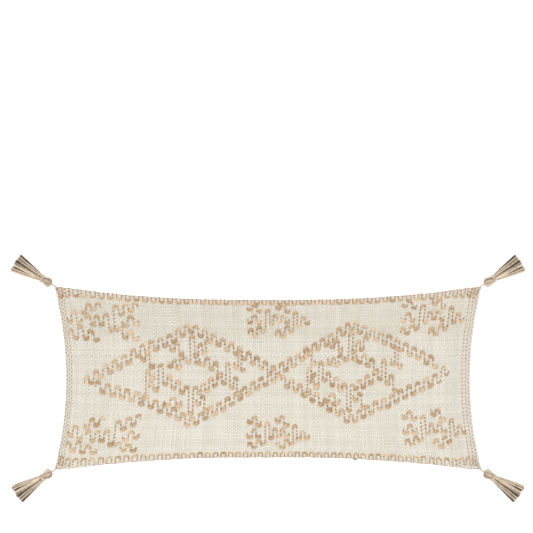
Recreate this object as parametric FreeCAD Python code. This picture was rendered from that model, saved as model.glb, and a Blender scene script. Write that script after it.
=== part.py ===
import FreeCAD, Part
import math
import os

# A long lumbar throw pillow lying on its back, face up. Millimetres.
# X runs along the pillow, +Y is the edge opposite the zip, +Z is up.
# The origin is under the middle of the pillow, on the surface that it lies on.

# ---- driving dimensions -------------------------------------------------------------------

HALF_LENGTH = 435.0        # corner, measured along X
HALF_WIDTH = 187.5         # corner, measured along Y
SIDE_PULL_IN = 26.5        # how far the middle of a short side is drawn in by the filling
LONG_PULL_IN = 29.0        # how far the middle of a long side is drawn in
LONG_CURVE = 2.5           # exponent of the long side's curve
TOP_RISE = 75.0            # dome of the front above the seam's level
BOTTOM_RISE = 80.0         # belly of the back, before the surface below flattens it
CORNER_LEVEL = 26.0        # height of the seam at the corners
LONG_SEAM_RISE = 40.0      # how much higher the seam is at the middle of a long side
SHORT_SEAM_RISE = 36.0     # and at the middle of a short side
MIDDLE_LEVEL = 75.0        # height of the middle of the filling

COVER_WALL = 1.6           # woven cotton
CASING_WALL = 0.8          # plain insert casing
SOFT_GAP = 0.8             # room between one layer and the next
INSERT_SETBACK = 14.0      # the insert's seam stays this far inside the cover's
FOOT_DEPTH = 0.8           # how far the belly would sink before the flat foot is cut

GRID_ALONG = 24            # spans of the surface net along X
GRID_ACROSS = 16           # and along Y

ZIP_HALF = 190.0           # half the zip's length (a 15 inch zip)
ZIP_WINDOW = 11.0          # height of the slot in the seam
TAPE_WIDTH = 12.7
TAPE_THICK = 0.8
COIL_WIDE = 2.4
COIL_DEEP = 2.25
SLIDER_REACH = 176.0       # the slider's place at the closed end
SLIDER_LONG = 12.0
SLIDER_TALL = 9.0
PULL_LONG = 25.0

TASSEL_AZIMUTH = 32.5      # a tassel points this far off the X axis
CORD_GAP = 1.9             # from the cover's corner to the cord's turning point
CORD_RADIUS = 1.3
CORD_LENGTH = 3.0
KNOT_LONG = 2.8            # the small knots that the cord turns on at its ends
HEAD_GAP = 1.8             # from the cord's outer turning point to the head
HEAD_LENGTH = 22.0
HEAD_RADIUS = 10.5
NECK_RADIUS = 7.0
BINDING_LENGTH = 4.0
BINDING_RADIUS = 8.2
SKIRT_LENGTH = 66.0
SKIRT_HALF_WIDTH = 21.0
SKIRT_HALF_DEPTH = 9.0
FLOOR_CLEARANCE = 0.4      # a hanging end clears the surface below by this

LABEL_X = 260.0
LABEL_WIDE = 30.0
LABEL_THICK = 0.6

INLAY_LIFT = 0.25          # the inlay lies this far above the cover
INLAY_THICK = 1.0
INLAY_BAND = 15.0          # width of a diamond's side

V = FreeCAD.Vector
os.makedirs("parts", exist_ok=True)


def export(name, shape):
    """One node, one STEP file."""
    bad = [s for s in shape.Solids if not s.isValid()]
    if bad or not shape.Solids:
        raise SystemExit(name + " has no valid solid")
    shape.exportStep("parts/" + name + ".step")
    box = shape.BoundBox
    print("%-24s %8.1f cm3  %6.1f x %6.1f x %6.1f" % (
        name, shape.Volume / 1000, box.XLength, box.YLength, box.ZLength))


# ---- the pillow's own surface -------------------------------------------------------------

def surface_point(s, t, rise, setback, lowest):
    """A point of a pillow-shaped sheet. s and t run from -1 to 1 along X and Y; rise is the
    dome above the seam's level, negative for the belly; setback draws the outline in."""
    u = math.sin(math.pi / 2 * s)
    v = math.sin(math.pi / 2 * t)
    x = u * (HALF_LENGTH - SIDE_PULL_IN * (1 - v * v) - setback)
    y = v * (HALF_WIDTH - LONG_PULL_IN * (1 - abs(u) ** LONG_CURVE) - setback)
    along = 1 - u ** 4
    across = 1 - v * v
    level = CORNER_LEVEL + LONG_SEAM_RISE * along + SHORT_SEAM_RISE * across
    level -= (CORNER_LEVEL + LONG_SEAM_RISE + SHORT_SEAM_RISE - MIDDLE_LEVEL) * along * across
    z = level + rise * math.sqrt(max(along, 0) * max(across, 0))
    return V(x, y, max(z, lowest))


def knots(spans):
    """Clamped cubic knots over -1 to 1: the values and how often each is repeated."""
    values = [-1 + 2 * i / spans for i in range(spans + 1)]
    return values, [4] + [1] * (spans - 1) + [4]


def stations(spans):
    """The parameter at which each control point of such a curve acts."""
    values, repeats = knots(spans)
    flat = [k for k, m in zip(values, repeats) for _ in range(m)]
    return [sum(flat[i + 1:i + 4]) / 3 for i in range(spans + 3)]


def net(point, spans_s, spans_t):
    """A grid of control points over the whole sheet."""
    return [[point(s, t) for t in stations(spans_t)] for s in stations(spans_s)]


def surface(points, spans_s, spans_t):
    values_s, repeats_s = knots(spans_s)
    values_t, repeats_t = knots(spans_t)
    sheet = Part.BSplineSurface()
    sheet.buildFromPolesMultsKnots(
        points, repeats_s, repeats_t, values_s, values_t, False, False, 3, 3)
    return sheet


def border_curves(points, spans_s, spans_t):
    """The four edges of a sheet, as curves of their own."""
    values_s, repeats_s = knots(spans_s)
    values_t, repeats_t = knots(spans_t)
    rows = [
        (points[0], values_t, repeats_t),
        (points[-1], values_t, repeats_t),
        ([line[0] for line in points], values_s, repeats_s),
        ([line[-1] for line in points], values_s, repeats_s),
    ]
    edges = []
    for poles, values, repeats in rows:
        curve = Part.BSplineCurve()
        curve.buildFromPolesMultsKnots(poles, repeats, values, False, 3)
        edges.append(curve.toShape())
    return edges


def solid_between(first, second, spans_s, spans_t):
    """The closed solid between two nets. Where their edges differ, a narrow wall joins them."""
    faces = [surface(n, spans_s, spans_t).toShape() for n in (first, second)]
    edges = zip(border_curves(first, spans_s, spans_t), border_curves(second, spans_s, spans_t))
    for a, b in edges:
        apart = (a.valueAt(a.FirstParameter) - b.valueAt(b.FirstParameter)).Length
        if apart > 1e-6:
            faces.append(Part.makeRuledSurface(a, b))
    shell = Part.makeShell(faces)
    shell.sewShape()
    solid = Part.makeSolid(shell)
    if solid.Volume < 0:
        solid.reverse()
    return solid


def pillow_net(rise, setback, lowest):
    return net(lambda s, t: surface_point(s, t, rise, setback, lowest), GRID_ALONG, GRID_ACROSS)


def casing_half(side, depth, setback, wall):
    """Half of a thin pillow-shaped casing. depth is how far its outer face lies under the
    cover's outer face, and side is +1 for the front and -1 for the back."""
    full = TOP_RISE if side > 0 else BOTTOM_RISE
    outer = pillow_net(side * (full - depth), setback, depth if depth else -FOOT_DEPTH)
    inner = pillow_net(side * (full - depth - wall), setback + wall, depth + wall)
    return solid_between(outer, inner, GRID_ALONG, GRID_ACROSS)


def box(x0, x1, y0, y1, z0, z1):
    return Part.makeBox(x1 - x0, y1 - y0, z1 - z0, V(x0, y0, z0))


# ---- cover, insert and filling ------------------------------------------------------------

SEAM_LEVEL = CORNER_LEVEL + LONG_SEAM_RISE      # seam height where the zip sits


def covers():
    window = box(-ZIP_HALF - 2, ZIP_HALF + 2, -HALF_WIDTH, -HALF_WIDTH + 40,
                 SEAM_LEVEL - ZIP_WINDOW / 2, SEAM_LEVEL + ZIP_WINDOW / 2)
    below = box(-HALF_LENGTH, HALF_LENGTH, -HALF_WIDTH, HALF_WIDTH, -20, 0)
    front = casing_half(1, 0, 0, COVER_WALL).cut(window)
    back = casing_half(-1, 0, 0, COVER_WALL).cut(window).cut(below)
    export("cover_front", front)
    export("cover_back", back)


def insert():
    depth = COVER_WALL + SOFT_GAP
    export("insert_casing_front", casing_half(1, depth, INSERT_SETBACK, CASING_WALL))
    export("insert_casing_back", casing_half(-1, depth, INSERT_SETBACK, CASING_WALL))
    depth += CASING_WALL + SOFT_GAP
    setback = INSERT_SETBACK + CASING_WALL + SOFT_GAP
    top = pillow_net(TOP_RISE - depth, setback, depth)
    bottom = pillow_net(depth - BOTTOM_RISE, setback, depth)
    export("insert_fill", solid_between(top, bottom, GRID_ALONG, GRID_ACROSS))


# ---- the jute inlay: low bands on the front -----------------------------------------------

def patch(corners):
    """A thin raised patch. corners are four (x, y) places in plan, in order round it."""
    def place(x, y, lift):
        v = y / (HALF_WIDTH - LONG_PULL_IN)
        for _ in range(12):
            u = x / (HALF_LENGTH - SIDE_PULL_IN * (1 - v * v))
            v = y / (HALF_WIDTH - LONG_PULL_IN * (1 - abs(u) ** LONG_CURVE))
        s = math.asin(max(-1, min(1, u))) * 2 / math.pi
        t = math.asin(max(-1, min(1, v))) * 2 / math.pi
        return surface_point(s, t, TOP_RISE, 0, 0) + V(0, 0, lift)

    def corner_mix(s, t, lift):
        p = (s + 1) / 2
        q = (t + 1) / 2
        (ax, ay), (bx, by), (cx, cy), (dx, dy) = corners
        x = (1 - q) * ((1 - p) * ax + p * bx) + q * ((1 - p) * dx + p * cx)
        y = (1 - q) * ((1 - p) * ay + p * by) + q * ((1 - p) * dy + p * cy)
        return place(x, y, lift)

    along, across = 8, 3
    low = net(lambda s, t: corner_mix(s, t, INLAY_LIFT), along, across)
    high = net(lambda s, t: corner_mix(s, t, INLAY_LIFT + INLAY_THICK), along, across)
    return solid_between(low, high, along, across)


def band(start, end, width):
    """A patch along a straight line in plan, drawn in a little at its ends."""
    a = V(start[0], start[1], 0)
    b = V(end[0], end[1], 0)
    run = (b - a).normalize()
    side = V(-run.y, run.x, 0) * (width / 2)
    a, b = a + run * (width * 0.6), b - run * (width * 0.6)
    return patch([(p.x, p.y) for p in (a - side, b - side, b + side, a + side)])


def inlay():
    tip_left, apex_left, middle, apex_right, tip_right = -392.0, -156.0, 8.0, 172.0, 382.0
    half_height = 104.0
    pieces = []
    for side in (1, -1):
        for left, apex, right in ((tip_left, apex_left, middle), (middle, apex_right, tip_right)):
            pieces.append(band((left, 0), (apex, side * half_height), INLAY_BAND))
            pieces.append(band((apex, side * half_height), (right, 0), INLAY_BAND))
        for x in (-355.0, 20.0, 345.0):
            pieces.append(patch([(x - 45, side * 100), (x + 40, side * 108),
                                 (x + 40, side * 126), (x - 45, side * 134)]))
        edge = [(x, side * (HALF_WIDTH - LONG_PULL_IN * (1 - abs(x / HALF_LENGTH) ** LONG_CURVE)))
                for x in (-380.0, -190.0, 0.0, 190.0, 380.0)]
        for (x0, y0), (x1, y1) in zip(edge, edge[1:]):
            pieces.append(patch([(x0 + 1, y0 - side * 14), (x1 - 1, y1 - side * 14),
                                 (x1 - 1, y1 - side * 7), (x0 + 1, y0 - side * 7)]))
        for offset in (12.0, 20.0, 28.0):
            x = side * (HALF_LENGTH - SIDE_PULL_IN - offset)
            pieces.append(patch([(x - 1, -90), (x + 1, -90), (x + 1, 90), (x - 1, 90)]))
    export("jute_inlay", Part.makeCompound(pieces))


# ---- zip ----------------------------------------------------------------------------------

TAPE_FACE = -156.2         # outer face of the tapes beside the coils
TAPE_FAR = -153.4          # and at their outer edges, which follow the cover's curve
COIL_FACE = TAPE_FACE - 0.05 - COIL_DEEP
PLATE_BACK = COIL_FACE - 0.7
PLATE_FRONT = PLATE_BACK - 1.4
PULL_AXIS = PLATE_FRONT - 1.7


def prism(section, x0, x1):
    """A bar along X with a section given as (y, z) places."""
    wire = Part.makePolygon([V(x0, y, z) for y, z in section + section[:1]])
    return Part.Face(wire).extrude(V(x1 - x0, 0, 0))


def zip_fastener():
    mid = SEAM_LEVEL
    for name, side in (("upper", 1), ("lower", -1)):
        near, far = mid + side * 0.3, mid + side * (0.3 + TAPE_WIDTH)
        tape = prism([(TAPE_FACE, near), (TAPE_FAR, far),
                      (TAPE_FAR + TAPE_THICK, far), (TAPE_FACE + TAPE_THICK, near)],
                     -ZIP_HALF - 8, ZIP_HALF + 8)
        export("zipper_tape_" + name, tape)
        low, high = sorted((mid + side * 0.1, mid + side * (0.1 + COIL_WIDE)))
        coil = box(-ZIP_HALF + 4, ZIP_HALF - 4, COIL_FACE, COIL_FACE + COIL_DEEP, low, high)
        ridges = [e for e in coil.Edges if abs(e.CenterOfMass.y - COIL_FACE) < 0.01 and e.Length > 9]
        export("zipper_coil_" + name, coil.makeFillet(0.9, ridges))

    stops = [box(ZIP_HALF - 3.6, ZIP_HALF - 0.6, COIL_FACE, TAPE_FACE - 0.05,
                 mid + side * 1.6 - 1.3, mid + side * 1.6 + 1.3) for side in (1, -1)]
    export("zipper_top_stops", Part.makeCompound(stops))
    export("zipper_bottom_stop", box(-ZIP_HALF + 0.6, -ZIP_HALF + 3.6, COIL_FACE,
                                     TAPE_FACE - 0.05, mid - 3, mid + 3))


def zip_slider():
    mid = SEAM_LEVEL
    x0, x1 = SLIDER_REACH - SLIDER_LONG / 2, SLIDER_REACH + SLIDER_LONG / 2
    half = SLIDER_TALL / 2
    plate = box(x0, x1, PLATE_FRONT, PLATE_BACK, mid - half, mid + half)
    upright = [e for e in plate.Edges if abs(e.CenterOfMass.y - (PLATE_FRONT + PLATE_BACK) / 2) < 0.01]
    plate = plate.makeFillet(2.0, upright)
    flanges = [box(x0 + 2, x1 - 2, PLATE_BACK - 0.4, PLATE_BACK + 1.7,
                   mid + side * (half - 0.45) - 0.45, mid + side * (half - 0.45) + 0.45)
               for side in (1, -1)]
    crown_out = PULL_AXIS - 1.9
    crown = box(SLIDER_REACH - 1.6, SLIDER_REACH + 1.6, crown_out, PLATE_FRONT + 0.2, mid - 3.4, mid + 3.4)
    eye = box(SLIDER_REACH - 2, SLIDER_REACH + 2, PULL_AXIS - 1.0, PLATE_FRONT, mid - 2.4, mid + 2.4)
    outer = plate.fuse(flanges + [crown.cut(eye)])
    inner = box(x0 + 1, x1 - 1, TAPE_FACE + 2.1, TAPE_FACE + 3.1, mid - half, mid + half)
    export("zipper_slider", Part.makeCompound([outer, inner]))

    cross_bar = Part.makeCylinder(0.55, 7.6, V(SLIDER_REACH - 3.8, PULL_AXIS, mid), V(1, 0, 0))
    arms = [box(SLIDER_REACH + side * 3.2 - 0.6, SLIDER_REACH + side * 3.2 + 0.6,
                PULL_AXIS - 0.55, PULL_AXIS + 0.55, mid - 5.6, mid) for side in (1, -1)]
    blade = box(SLIDER_REACH - 3.8, SLIDER_REACH + 3.8, PULL_AXIS - 0.55, PULL_AXIS + 0.55,
                mid - PULL_LONG, mid - 5.0)
    corners = [e for e in blade.Edges
               if abs(e.CenterOfMass.z - (mid - PULL_LONG)) < 0.01 and abs(e.CenterOfMass.y - PULL_AXIS) < 0.01]
    blade = blade.makeFillet(2.5, corners)
    hole = Part.makeCylinder(1.2, 4, V(SLIDER_REACH, PULL_AXIS - 2, mid - PULL_LONG + 4.5), V(0, 1, 0))
    export("zipper_pull", cross_bar.fuse(arms + [blade.cut(hole)]))


def care_label():
    top = CORNER_LEVEL + LONG_SEAM_RISE * (1 - (LABEL_X / HALF_LENGTH) ** 4) - 4
    outer = HALF_WIDTH - LONG_PULL_IN * (1 - (LABEL_X / HALF_LENGTH) ** LONG_CURVE) + 0.9
    label = prism([(-outer, top), (-outer + 7.6, 18), (-outer + 7.6 - LABEL_THICK, 18),
                   (-outer - LABEL_THICK, top)], LABEL_X - LABEL_WIDE / 2, LABEL_X + LABEL_WIDE / 2)
    export("care_label", label)


# ---- tassels ------------------------------------------------------------------------------

def turned(outline):
    """A solid turned about the X axis. outline holds edges from the axis and back to it."""
    return Part.Face(Part.Wire(outline)).revolve(V(0, 0, 0), V(1, 0, 0), 360)


def knot(centre, axis):
    """A short round knot about an axis that the cord turns on."""
    return Part.makeCylinder(CORD_RADIUS, KNOT_LONG, centre - axis * (KNOT_LONG / 2), axis)


def tassel_pieces(slope):
    """The pieces of one tassel along +X, with the cord's inner turning point at the origin.
    The inner knot's axis is upright once the tassel is tipped down by slope degrees."""
    lean = math.radians(slope)
    cord = Part.makeCylinder(CORD_RADIUS - 0.1, CORD_LENGTH, V(0, 0, 0), V(1, 0, 0))
    cord = cord.fuse([knot(V(0, 0, 0), V(-math.sin(lean), 0, math.cos(lean))),
                      knot(V(CORD_LENGTH, 0, 0), V(0, 1, 0))])

    start = CORD_LENGTH + HEAD_GAP
    end = start + HEAD_LENGTH
    belly = start + 0.46 * HEAD_LENGTH
    bulb = Part.BSplineCurve()
    bulb.interpolate([V(start, 2.2, 0), V(start + 2.2, 6.8, 0), V(belly, HEAD_RADIUS, 0),
                      V(end - 5.0, NECK_RADIUS + 1.6, 0), V(end - 1.5, NECK_RADIUS, 0)])
    head = turned([
        Part.makeLine(V(start, 0, 0), V(start, 2.2, 0)),
        bulb.toShape(),
        Part.makeLine(V(end - 1.5, NECK_RADIUS, 0), V(end, NECK_RADIUS, 0)),
        Part.makeLine(V(end, NECK_RADIUS, 0), V(end, 0, 0)),
        Part.makeLine(V(end, 0, 0), V(start, 0, 0)),
    ])

    ring_start = end - 1.4
    ring = Part.makeCylinder(BINDING_RADIUS, BINDING_LENGTH, V(ring_start, 0, 0), V(1, 0, 0))
    ring = ring.makeFillet(0.8, ring.Edges[:1] + ring.Edges[2:3])
    ring = ring.cut(Part.makeCylinder(NECK_RADIUS, BINDING_LENGTH + 2, V(ring_start - 1, 0, 0), V(1, 0, 0)))

    tip = end + SKIRT_LENGTH
    collar_end = ring_start + BINDING_LENGTH
    sections = []
    for x, wide, deep in ((end, NECK_RADIUS - 0.3, NECK_RADIUS - 0.3),
                          (collar_end, NECK_RADIUS - 0.3, NECK_RADIUS - 0.3),
                          (end + 0.38 * SKIRT_LENGTH, 11.0, 8.6),
                          (end + 0.7 * SKIRT_LENGTH, 16.5, 9.2),
                          (tip, SKIRT_HALF_WIDTH, SKIRT_HALF_DEPTH)):
        turns = [i * math.pi / 6 for i in range(12)]
        outline = Part.BSplineCurve()
        outline.interpolate(Points=[V(x, wide * math.cos(a), deep * math.sin(a)) for a in turns],
                            PeriodicFlag=True)
        sections.append(Part.Wire([outline.toShape()]))
    skirt = Part.makeLoft(sections, True)
    return {"cord": cord, "head": head, "binding": ring, "skirt": skirt}


def tassel_slope():
    """How far a tassel slopes down from its corner to lie on the surface below, in degrees."""
    reach = CORD_LENGTH + HEAD_GAP + HEAD_LENGTH + SKIRT_LENGTH
    drop = CORNER_LEVEL - FLOOR_CLEARANCE
    slope = 0.0
    for _ in range(20):
        slope = math.asin((drop - SKIRT_HALF_DEPTH * math.cos(slope)) / reach)
    return math.degrees(slope)


def tassels():
    slope = tassel_slope()
    azimuth = math.radians(TASSEL_AZIMUTH)
    hinge = V(HALF_LENGTH + CORD_GAP * math.cos(azimuth), HALF_WIDTH + CORD_GAP * math.sin(azimuth),
              CORNER_LEVEL)
    swivel = FreeCAD.Rotation(V(0, 0, 1), TASSEL_AZIMUTH).multiply(FreeCAD.Rotation(V(0, 1, 0), slope))
    outer = hinge + swivel.multVec(V(CORD_LENGTH, 0, 0))
    print("tassel slope %.3f, inner turning point %s, outer turning point %s" % (slope, hinge, outer))
    for piece, shape in tassel_pieces(slope).items():
        placed = shape.copy()
        placed.Placement = FreeCAD.Placement(hinge, swivel)
        west = placed.mirror(V(0, 0, 0), V(1, 0, 0))
        export("tassel_ne_" + piece, placed)
        export("tassel_nw_" + piece, west)
        export("tassel_se_" + piece, placed.mirror(V(0, 0, 0), V(0, 1, 0)))
        export("tassel_sw_" + piece, west.mirror(V(0, 0, 0), V(0, 1, 0)))


covers()
insert()
inlay()
zip_fastener()
zip_slider()
care_label()
tassels()
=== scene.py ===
import math
import random
from functools import wraps

import bpy
import numpy as np
from bpy.props import FloatProperty, FloatVectorProperty, IntProperty, PointerProperty
from mathutils import Matrix, Vector


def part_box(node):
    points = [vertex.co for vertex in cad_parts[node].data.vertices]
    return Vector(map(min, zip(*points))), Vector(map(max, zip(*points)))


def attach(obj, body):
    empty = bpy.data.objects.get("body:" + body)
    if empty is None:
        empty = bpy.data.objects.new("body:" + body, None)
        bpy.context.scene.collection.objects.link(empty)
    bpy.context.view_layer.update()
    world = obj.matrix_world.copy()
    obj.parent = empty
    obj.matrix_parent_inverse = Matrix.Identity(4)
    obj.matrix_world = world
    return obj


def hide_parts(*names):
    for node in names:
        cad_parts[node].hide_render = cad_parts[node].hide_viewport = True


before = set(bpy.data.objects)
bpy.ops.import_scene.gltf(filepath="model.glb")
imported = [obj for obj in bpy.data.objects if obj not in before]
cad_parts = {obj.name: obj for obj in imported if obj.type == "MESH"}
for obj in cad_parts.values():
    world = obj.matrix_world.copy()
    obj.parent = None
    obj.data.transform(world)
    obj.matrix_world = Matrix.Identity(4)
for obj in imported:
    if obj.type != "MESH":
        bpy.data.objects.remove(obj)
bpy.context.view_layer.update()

bl_info = {
    "name": "Woven Lumbar Pillow",
    "version": (1, 0, 0),
    "blender": (4, 5, 0),
    "location": "3D View > Sidebar > Pillow",
    "description": "Builds a long lumbar pillow with a jute inlay, corner tassels and a zip",
    "category": "Add Mesh",
}

MM = 0.001

# The pillow's own surface, as the frame has it: metres, corners at +-HALF_LENGTH, +-HALF_WIDTH.
HALF_LENGTH, HALF_WIDTH = 0.435, 0.1875
SIDE_PULL_IN, LONG_PULL_IN, LONG_CURVE = 0.0265, 0.029, 2.5
TOP_RISE, BOTTOM_RISE = 0.075, 0.080
CORNER_LEVEL, LONG_SEAM_RISE, SHORT_SEAM_RISE, MIDDLE_LEVEL = 0.026, 0.040, 0.036, 0.075

# The flat panel before it is sewn, and the weaver's chart drawn on it: columns of warp
# from FIRST_COLUMN to LAST_COLUMN along X, rows of weft from 0 at the +Y edge to 100.
PANEL_HALF_LONG, PANEL_HALF_WIDE = 0.4445, 0.1905
FIRST_COLUMN, LAST_COLUMN, ROWS = -118.25, 88.3, 100
SPLITS = 4                  # mesh cells across one cell of the weave

ZIP_REACH, ZIP_LIP = 0.192, 0.0062
CORNERS = {"ne": (1, 1), "nw": (-1, 1), "se": (1, -1), "sw": (-1, -1)}
TASSEL_AZIMUTH, TASSEL_SLOPE = math.radians(32.5), math.radians(10.397)
TASSEL_LIE = {"ne": -2.0, "nw": -2.0, "se": 0.8, "sw": 0.8}    # degrees off that azimuth
CORD_GAP = 1.9

TWIST = 0.55                # how far the twist of the yarns turns each crown towards the diagonal
CLOTH = {"quality": 8, "mass": 0.3, "tension_stiffness": 40, "compression_stiffness": 40,
         "shear_stiffness": 8, "bending_stiffness": 0.4, "tension_damping": 20,
         "compression_damping": 20, "air_damping": 3, "use_pressure": True}
SWELL_FRAMES = 20           # frames that the cloth takes to settle
SIDEWAYS = 0.35             # share of the cloth's sideways shift that is kept


# ---- settings ------------------------------------------------------------------------------

def linear(red, green, blue):
    """An sRGB colour given as 0 to 255, as the linear colour that a shader takes."""
    values = (c / 255 for c in (red, green, blue))
    return tuple(c / 12.92 if c <= 0.04045 else ((c + 0.055) / 1.055) ** 2.4 for c in values) + (1.0,)


def size(name, description, default):
    return FloatProperty(name=name, description=description, default=default, min=0.0,
                         subtype="DISTANCE", unit="LENGTH")


def share(name, description, default):
    return FloatProperty(name=name, description=description, default=default, min=0.0, max=1.0,
                         subtype="FACTOR")


def colour(name, description, *rgb):
    return FloatVectorProperty(name=name, description=description, default=linear(*rgb), size=4,
                               min=0.0, max=1.0, subtype="COLOR")


class PillowCoverSettings(bpy.types.PropertyGroup):
    relief: size("Weave relief", "Height of a yarn's crown above the gaps of the weave", 0.0011)
    swell: size("Most swell", "How far the stuffed cloth may leave the frame's surface", 0.010)
    pressure: FloatProperty(name="Stuffing pressure", description="Pressure of the filling on the cloth",
                            default=4.0, min=0.0)
    excess: share("Spare cloth", "How much longer the cloth is than the surface it covers", 0.02)
    cotton: colour("Cotton", "Crowns of the cotton yarns", 246, 243, 236)
    # Cotton shade is the duller yarns' colour and also painted shade in the weave's gaps and along its
    # diagonal bands.
    cotton_deep: colour("Cotton shade", "Gaps and duller cotton yarns", 198, 188, 166)


class PillowInlaySettings(bpy.types.PropertyGroup):
    float_radius: size("Float half width", "Half the width of a jute float", 0.0038)
    leg_radius: size("Leg half width", "Half the width of the yarn where it runs up and down", 0.0013)
    flatness: share("Flatness", "Height of a yarn over its width", 0.6)
    jute: colour("Jute", "Light fibres of the jute", 238, 211, 178)
    # Jute shade is the jute's dark fibres and also painted shade: in the ply's grooves, at the ends of the
    # floats and along the legs.
    jute_deep: colour("Jute shade", "Dark fibres of the jute", 158, 116, 74)
    jute_olive: colour("Jute olive", "Greenish fibres of the jute", 206, 180, 132)


class PillowTasselSettings(bpy.types.PropertyGroup):
    strands: IntProperty(name="Strands", description="Strands in one tassel", default=62, min=20, max=200)
    strand_radius: size("Strand half width", "Half the thickness of one strand", 0.00112)
    tan: colour("Tan strand", "Outer strands", 248, 230, 206)
    olive: colour("Olive strand", "Strands in the middle", 212, 198, 168)
    shade: colour("Shaded strand", "Strands deep in the bundle", 70, 42, 24)


class PillowClosureSettings(bpy.types.PropertyGroup):
    teeth_pitch: size("Teeth pitch", "Distance from one zip tooth to the next", 0.0015)
    stitch_pitch: size("Stitch pitch", "Distance from one stitch to the next", 0.0030)
    tape: colour("Tape", "Zip tape", 226, 217, 200)
    metal: colour("Metal", "Slider, pull and stops", 150, 132, 104)


class PillowStageSettings(bpy.types.PropertyGroup):
    lens: FloatProperty(name="Focal length", description="Camera lens in millimetres", default=170.0)
    frame_width: size("Frame width", "Width that the camera sees at the seam's height", 1.077)
    light: FloatProperty(name="Light", description="Strength of the whole lighting", default=1.0, min=0.0)


SETTINGS = {
    "pillow_cover": PillowCoverSettings, "pillow_inlay": PillowInlaySettings,
    "pillow_tassel": PillowTasselSettings, "pillow_closure": PillowClosureSettings,
    "pillow_stage": PillowStageSettings,
}


# ---- meshes and surfaces -------------------------------------------------------------------

def mesh_object(name, places, faces=(), edges=(), material=None, **attributes):
    """A new object from vertices and faces or edges. attributes are one number per vertex."""
    mesh = bpy.data.meshes.new(name)
    mesh.from_pydata(np.asarray(places, float).tolist(), list(edges), list(faces))
    for key, values in attributes.items():
        layer = mesh.attributes.new(key, "FLOAT", "POINT")
        layer.data.foreach_set("value", np.asarray(values, np.float32))
    if material:
        mesh.materials.append(material)
    thing = bpy.data.objects.new(name, mesh)
    bpy.context.scene.collection.objects.link(thing)
    return thing


def quads(index, flipped=False):
    """Quads over a grid of vertex numbers. Unflipped, they face up where X and Y grow with it."""
    a, b, c, d = index[:-1, :-1], index[1:, :-1], index[1:, 1:], index[:-1, 1:]
    order = (a, d, c, b) if flipped else (a, b, c, d)
    return np.stack([part.ravel() for part in order], -1).tolist()


def shade_smooth(thing):
    thing.data.polygons.foreach_set("use_smooth", [True] * len(thing.data.polygons))
    return thing


def smooth_rows(grid, places):
    """Reads the rows of a grid at fractional row numbers, along a smooth curve through them."""
    last = len(grid) - 1
    row = np.clip(places.astype(int), 0, last - 1)
    f = (places - row).reshape((-1,) + (1,) * (grid.ndim - 1))
    padded = np.concatenate([2 * grid[:1] - grid[1:2], grid, 2 * grid[-1:] - grid[-2:-1]])
    a, b, c, d = padded[row], padded[row + 1], padded[row + 2], padded[row + 3]
    return b + 0.5 * f * (c - a + f * (2 * a - 5 * b + 4 * c - d + f * (3 * (b - c) + d - a)))


def smooth_grid(grid, across, along):
    """A grid of points read at fractional row and column numbers."""
    return np.swapaxes(smooth_rows(np.swapaxes(smooth_rows(grid, across), 0, 1), along), 0, 1)


def surface_normals(grid, side):
    along, across = np.gradient(grid, axis=0), np.gradient(grid, axis=1)
    normals = np.cross(along, across) * side
    return normals / np.maximum(np.linalg.norm(normals, axis=-1, keepdims=True), 1e-12)


def plan_fractions(x, y):
    """Where places on the flat panel come to lie on the stuffed pillow, as fractions of its
    half length and half width. x is one number per column and y one per row, in metres."""
    bow = np.sin(np.linspace(0, math.pi / 2, 721))
    dome = TOP_RISE * np.sqrt(np.maximum(1 - bow ** 4, 0))
    steps = np.hypot(np.diff(bow) * (HALF_LENGTH - SIDE_PULL_IN), np.diff(dome))
    arc = np.concatenate([[0], np.cumsum(steps)])
    u = np.sign(x) * np.interp(np.abs(x) / PANEL_HALF_LONG, arc / arc[-1], bow)
    turn = np.linspace(0, math.pi / 2, 361)
    v = np.empty((len(x), len(y)))
    for k, a in enumerate(np.abs(u)):
        wide = HALF_WIDTH - LONG_PULL_IN * (1 - a ** LONG_CURVE)
        high = TOP_RISE * math.sqrt(max(1 - a ** 4, 0))
        step = np.hypot(wide * np.cos(turn), high * np.sin(turn))
        arc = np.concatenate([[0], np.cumsum((step[1:] + step[:-1]) / 2)])
        v[k] = np.sign(y) * np.sin(np.interp(np.abs(y) / PANEL_HALF_WIDE, arc / arc[-1], turn))
    return np.broadcast_to(u[:, None], v.shape), v


def pillow_surface(u, v, rise, setback=0.0, lowest=0.0):
    x = u * (HALF_LENGTH - SIDE_PULL_IN * (1 - v * v) - setback)
    y = v * (HALF_WIDTH - LONG_PULL_IN * (1 - np.abs(u) ** LONG_CURVE) - setback)
    along, across = 1 - u ** 4, 1 - v * v
    level = CORNER_LEVEL + LONG_SEAM_RISE * along + SHORT_SEAM_RISE * across
    level = level - (CORNER_LEVEL + LONG_SEAM_RISE + SHORT_SEAM_RISE - MIDDLE_LEVEL) * along * across
    z = level + rise * np.sqrt(np.maximum(along, 0) * np.maximum(across, 0))
    return np.stack([x, y, np.maximum(z, lowest)], -1)


def column_place(column):
    """X on the flat panel of a column of the chart. The beat of the warp opens at the ends."""
    place = (75 + 3.92 * column + 3.4e-5 * column ** 3) * MM
    return np.clip(place, -PANEL_HALF_LONG, PANEL_HALF_LONG)


def sewn_sheets(name, front, back, material=None):
    """Two grids of points as one closed mesh: the back takes the front's border. Returns the
    object and the vertex numbers of both grids."""
    upper = np.arange(front.shape[0] * front.shape[1]).reshape(front.shape[:2])
    lower = upper.copy()
    inner = back[1:-1, 1:-1]
    lower[1:-1, 1:-1] = upper.size + np.arange(inner.shape[0] * inner.shape[1]).reshape(inner.shape[:2])
    places = np.concatenate([front.reshape(-1, 3), inner.reshape(-1, 3)])
    bag = mesh_object(name, places, quads(upper) + quads(lower, True), material=material)
    return bag, upper, lower


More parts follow.
